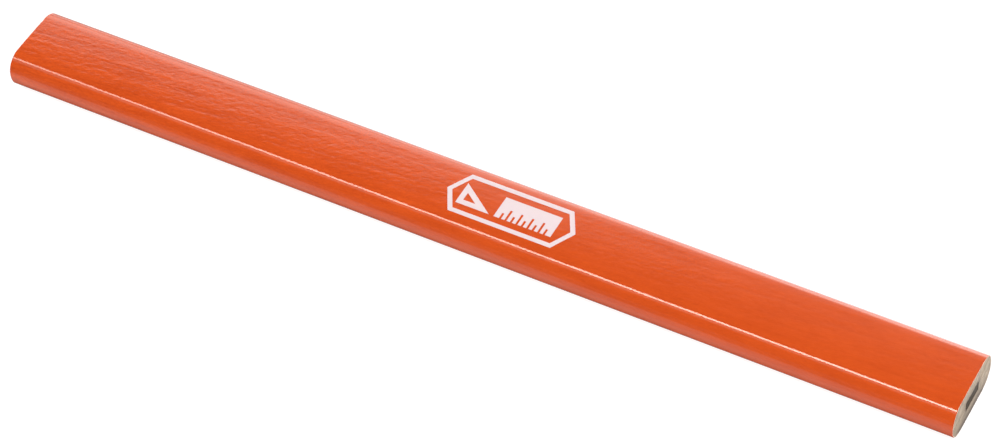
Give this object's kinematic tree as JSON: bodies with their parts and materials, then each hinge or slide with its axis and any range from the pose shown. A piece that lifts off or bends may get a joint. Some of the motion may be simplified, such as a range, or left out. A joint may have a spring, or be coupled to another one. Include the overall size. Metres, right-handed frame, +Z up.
{
  "type": "carpenter pencil",
  "caption": "Flat, unsharpened carpenter pencil: rounded oval wooden body in orange lacquer, sawn ends showing bare wood and a rectangular graphite lead, small white printed mark on top.",
  "frame": {"origin": "middle of the lower flat face, half way along the pencil", "axes": "+X along the pencil; +Y across the flat face; +Z up, through the thickness, towards the printed face"},
  "size_m": [0.175, 0.015, 0.0074],
  "materials": {
    "wood": "matte",
    "graphite": "satin",
    "adhesive": "satin",
    "ground_coat": "matte",
    "lacquer": "gloss",
    "ink": "satin"
  },
  "bodies": {
    "root": {"lower_slat": "wood", "upper_slat": "wood", "graphite_lead": "graphite", "lead_bond": "adhesive", "glue_strip_front": "adhesive", "glue_strip_back": "adhesive", "ground_coat": "ground_coat", "colour_coat": "lacquer", "printed_mark": "ink"}
  },
  "joints": []
}
